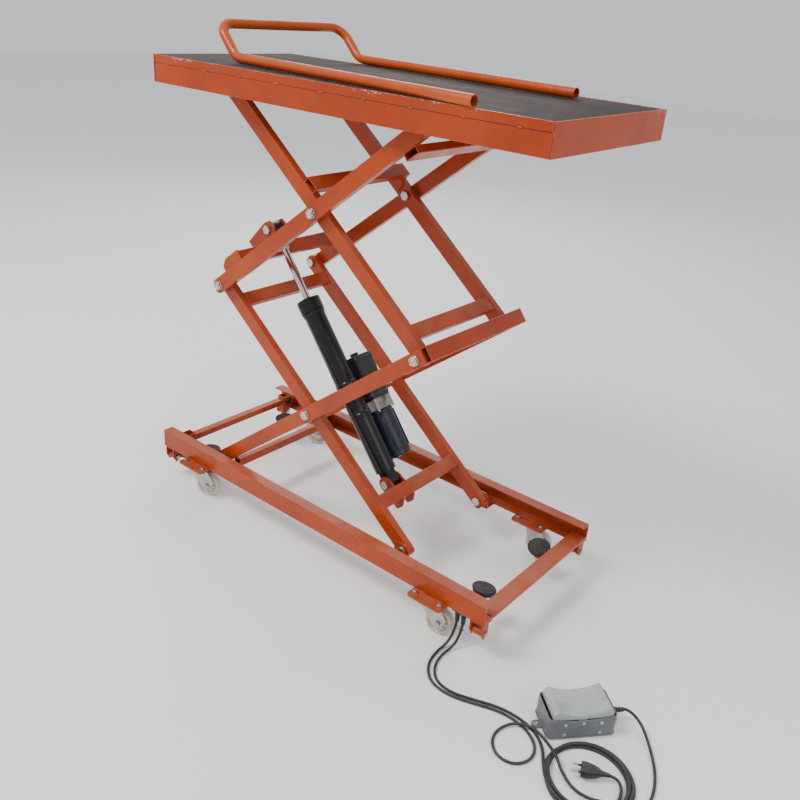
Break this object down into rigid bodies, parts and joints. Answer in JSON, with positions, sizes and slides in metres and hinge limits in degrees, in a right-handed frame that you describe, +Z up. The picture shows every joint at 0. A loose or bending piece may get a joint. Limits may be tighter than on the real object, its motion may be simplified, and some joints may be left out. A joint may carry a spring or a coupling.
{
  "type": "scissor lift table",
  "caption": "Mobile double-scissor lift table on swivel casters with an electro-hydraulic ram, foot switch, rubber-topped platform and lift-out push handle.",
  "frame": {"origin": "floor level under the middle of the base frame", "axes": "+X along the table to its fixed-hinge end, +Y across the table to its far side, +Z up"},
  "size_m": [1.7309, 0.777, 1.3713],
  "materials": {
    "black_paint": "gloss black",
    "cable_rubber": "matt",
    "cast_block": "raw cast",
    "chrome_rod": "hard chrome",
    "fork_steel": "zinc plate, dull",
    "gland_plastic": "satin",
    "handle_paint": "glossy, chipped",
    "mat_rubber": "matt, dusty",
    "motor_paint": "semi-gloss blue-black",
    "orange_paint": "glossy, dusty and chipped at edges",
    "pad_rubber": "matt",
    "pedal_grey": "satin",
    "pedal_shell": "satin",
    "pipe_steel": "dull",
    "plug_rubber": "satin",
    "roller_steel": "worn",
    "tank_plastic": "satin",
    "wheel_nylon": "satin, scuffed",
    "zinc": "bright zinc plate"
  },
  "bodies": {
    "base": {"base_bolts": "zinc", "cable_coil": "cable_rubber", "cable_glands": "gland_plastic", "cable_mains": "cable_rubber", "cable_pedal": "cable_rubber", "caster_plates": "orange_paint", "caster_top_plates": "zinc", "cross_beam_left": "orange_paint", "cross_beam_right": "orange_paint", "foot_arms": "orange_paint", "foot_brackets": "orange_paint", "handle_sockets": "orange_paint", "hinge_brackets": "orange_paint", "mains_plug": "plug_rubber", "pedal_housing": "pedal_shell", "rail_far": "orange_paint", "rail_near": "orange_paint"},
    "lower_inner": {"lower_inner_arms": "orange_paint", "lower_inner_ties": "orange_paint", "ram_bracket_lower": "orange_paint", "ram_pin_lower": "zinc"},
    "lower_outer": {"lower_outer_arms": "orange_paint", "lower_outer_ties": "orange_paint", "lower_arm_pins": "zinc"},
    "upper_outer": {"upper_outer_arms": "orange_paint", "upper_outer_ties": "orange_paint", "upper_arm_pins": "zinc", "ram_bracket_upper": "orange_paint", "ram_pin_upper": "zinc"},
    "upper_inner": {"upper_inner_arms": "orange_paint", "upper_inner_ties": "orange_paint", "upper_roller_pins": "zinc"},
    "lower_rollers": {"lower_rollers": "roller_steel"},
    "upper_rollers": {"upper_rollers": "roller_steel"},
    "cylinder": {"cylinder_tube": "black_paint", "motor": "motor_paint", "pump_block": "cast_block", "oil_tank": "tank_plastic", "hydraulic_pipe": "pipe_steel"},
    "rod": {"piston_rod": "chrome_rod", "rod_eye": "black_paint"},
    "platform": {"platform_frame": "orange_paint", "platform_hinges": "orange_paint", "platform_deck": "orange_paint", "rubber_mat": "mat_rubber", "platform_pins": "zinc"},
    "push_handle": {"push_handle": "handle_paint"},
    "pedal_rocker": {"pedal_rocker": "pedal_grey"},
    "caster_near_right": {"caster_fork_near_right": "fork_steel"},
    "wheel_near_right": {"caster_wheel_near_right": "wheel_nylon"},
    "foot_near_right": {"levelling_foot_near_right": "pad_rubber"},
    "caster_near_left": {"caster_fork_near_left": "fork_steel"},
    "wheel_near_left": {"caster_wheel_near_left": "wheel_nylon"},
    "foot_near_left": {"levelling_foot_near_left": "pad_rubber"},
    "caster_far_right": {"caster_fork_far_right": "fork_steel"},
    "wheel_far_right": {"caster_wheel_far_right": "wheel_nylon"},
    "foot_far_right": {"levelling_foot_far_right": "pad_rubber"},
    "caster_far_left": {"caster_fork_far_left": "fork_steel"},
    "wheel_far_left": {"caster_wheel_far_left": "wheel_nylon"},
    "foot_far_left": {"levelling_foot_far_left": "pad_rubber"}
  },
  "joints": [
    {"name": "lift", "type": "hinge", "parent": "base", "child": "lower_inner", "pos_m": [0.3025, 0, 0.136], "axis": [0, 1, 0], "range_deg": [-12.5, 6]},
    {"name": "lower_scissor", "type": "hinge", "parent": "lower_inner", "child": "lower_outer", "pos_m": [-0.04847, 0, 0.4112], "axis": [0, 1, 0], "range_deg": [-12.5, 25.5]},
    {"name": "middle_pivot", "type": "hinge", "parent": "lower_inner", "child": "upper_outer", "pos_m": [-0.39945, 0, 0.6864], "axis": [0, 1, 0], "range_deg": [-12.5, 25.5]},
    {"name": "upper_scissor", "type": "hinge", "parent": "upper_outer", "child": "upper_inner", "pos_m": [-0.04847, 0, 0.96159], "axis": [0, 1, 0], "range_deg": [-25.5, 12.5]},
    {"name": "platform_hinge", "type": "hinge", "parent": "upper_outer", "child": "platform", "pos_m": [0.3025, 0, 1.23679], "axis": [0, 1, 0], "range_deg": [-13, 6.5]},
    {"name": "lower_roller_spin", "type": "hinge", "parent": "lower_outer", "child": "lower_rollers", "pos_m": [-0.39945, 0, 0.136], "axis": [0, 1, 0], "continuous": true},
    {"name": "upper_roller_spin", "type": "hinge", "parent": "upper_inner", "child": "upper_rollers", "pos_m": [-0.39945, 0, 1.23679], "axis": [0, 1, 0], "continuous": true},
    {"name": "ram_swing", "type": "hinge", "parent": "lower_inner", "child": "cylinder", "pos_m": [0.14779, -0.055, 0.22554], "axis": [0, 1, 0], "range_deg": [-1.5, 2.8]},
    {"name": "rod_slide", "type": "slide", "parent": "cylinder", "child": "rod", "axis": [-0.6183, 0, 0.7859], "range_m": [-0.08, 0.04]},
    {"name": "pedal_press", "type": "hinge", "parent": "base", "child": "pedal_rocker", "pos_m": [0.885, -0.262, 0.042], "axis": [-0.7536, 0.6574, 0], "range_deg": [-5, 5], "stiffness_Nm_per_rad": 4},
    {"name": "handle_lift", "type": "slide", "parent": "platform", "child": "push_handle", "axis": [0, 0, 1], "range_m": [0, 0.3]},
    {"name": "swivel_near_right", "type": "hinge", "parent": "base", "child": "caster_near_right", "pos_m": [0.454, -0.242, 0.095], "axis": [0, 0, 1], "continuous": true},
    {"name": "roll_near_right", "type": "hinge", "parent": "caster_near_right", "child": "wheel_near_right", "pos_m": [0.47718, -0.23579, 0.0375], "axis": [-0.2588, 0.9659, 0], "continuous": true},
    {"name": "foot_turn_near_right", "type": "hinge", "parent": "base", "child": "foot_near_right", "pos_m": [0.5355, -0.139, 0.08], "axis": [0, 0, 1], "continuous": true},
    {"name": "swivel_near_left", "type": "hinge", "parent": "base", "child": "caster_near_left", "pos_m": [-0.454, -0.242, 0.095], "axis": [0, 0, 1], "continuous": true},
    {"name": "roll_near_left", "type": "hinge", "parent": "caster_near_left", "child": "wheel_near_left", "pos_m": [-0.43262, -0.2311, 0.0375], "axis": [-0.454, 0.891, 0], "continuous": true},
    {"name": "foot_turn_near_left", "type": "hinge", "parent": "base", "child": "foot_near_left", "pos_m": [-0.506, -0.163, 0.08], "axis": [0, 0, 1], "continuous": true},
    {"name": "swivel_far_right", "type": "hinge", "parent": "base", "child": "caster_far_right", "pos_m": [0.454, 0.242, 0.095], "axis": [0, 0, 1], "continuous": true},
    {"name": "roll_far_right", "type": "hinge", "parent": "caster_far_right", "child": "wheel_far_right", "pos_m": [0.47655, 0.25021, 0.0375], "axis": [-0.342, 0.9397, 0], "continuous": true},
    {"name": "foot_turn_far_right", "type": "hinge", "parent": "base", "child": "foot_far_right", "pos_m": [0.5355, 0.139, 0.08], "axis": [0, 0, 1], "continuous": true},
    {"name": "swivel_far_left", "type": "hinge", "parent": "base", "child": "caster_far_left", "pos_m": [-0.454, 0.242, 0.095], "axis": [0, 0, 1], "continuous": true},
    {"name": "roll_far_left", "type": "hinge", "parent": "caster_far_left", "child": "wheel_far_left", "pos_m": [-0.43509, 0.25678, 0.0375], "axis": [-0.6157, 0.788, 0], "continuous": true},
    {"name": "foot_turn_far_left", "type": "hinge", "parent": "base", "child": "foot_far_left", "pos_m": [-0.506, 0.163, 0.08], "axis": [0, 0, 1], "continuous": true}
  ],
  "couplings": [
    {"joint": "lower_scissor", "follows": "lift", "ratio": -2},
    {"joint": "middle_pivot", "follows": "lift", "ratio": -2},
    {"joint": "upper_scissor", "follows": "lift", "ratio": 2},
    {"joint": "platform_hinge", "follows": "lift", "ratio": 1},
    {"joint": "ram_swing", "follows": "lift", "ratio": -0.155},
    {"joint": "rod_slide", "follows": "lift", "m_per_rad": 0.3051}
  ]
}
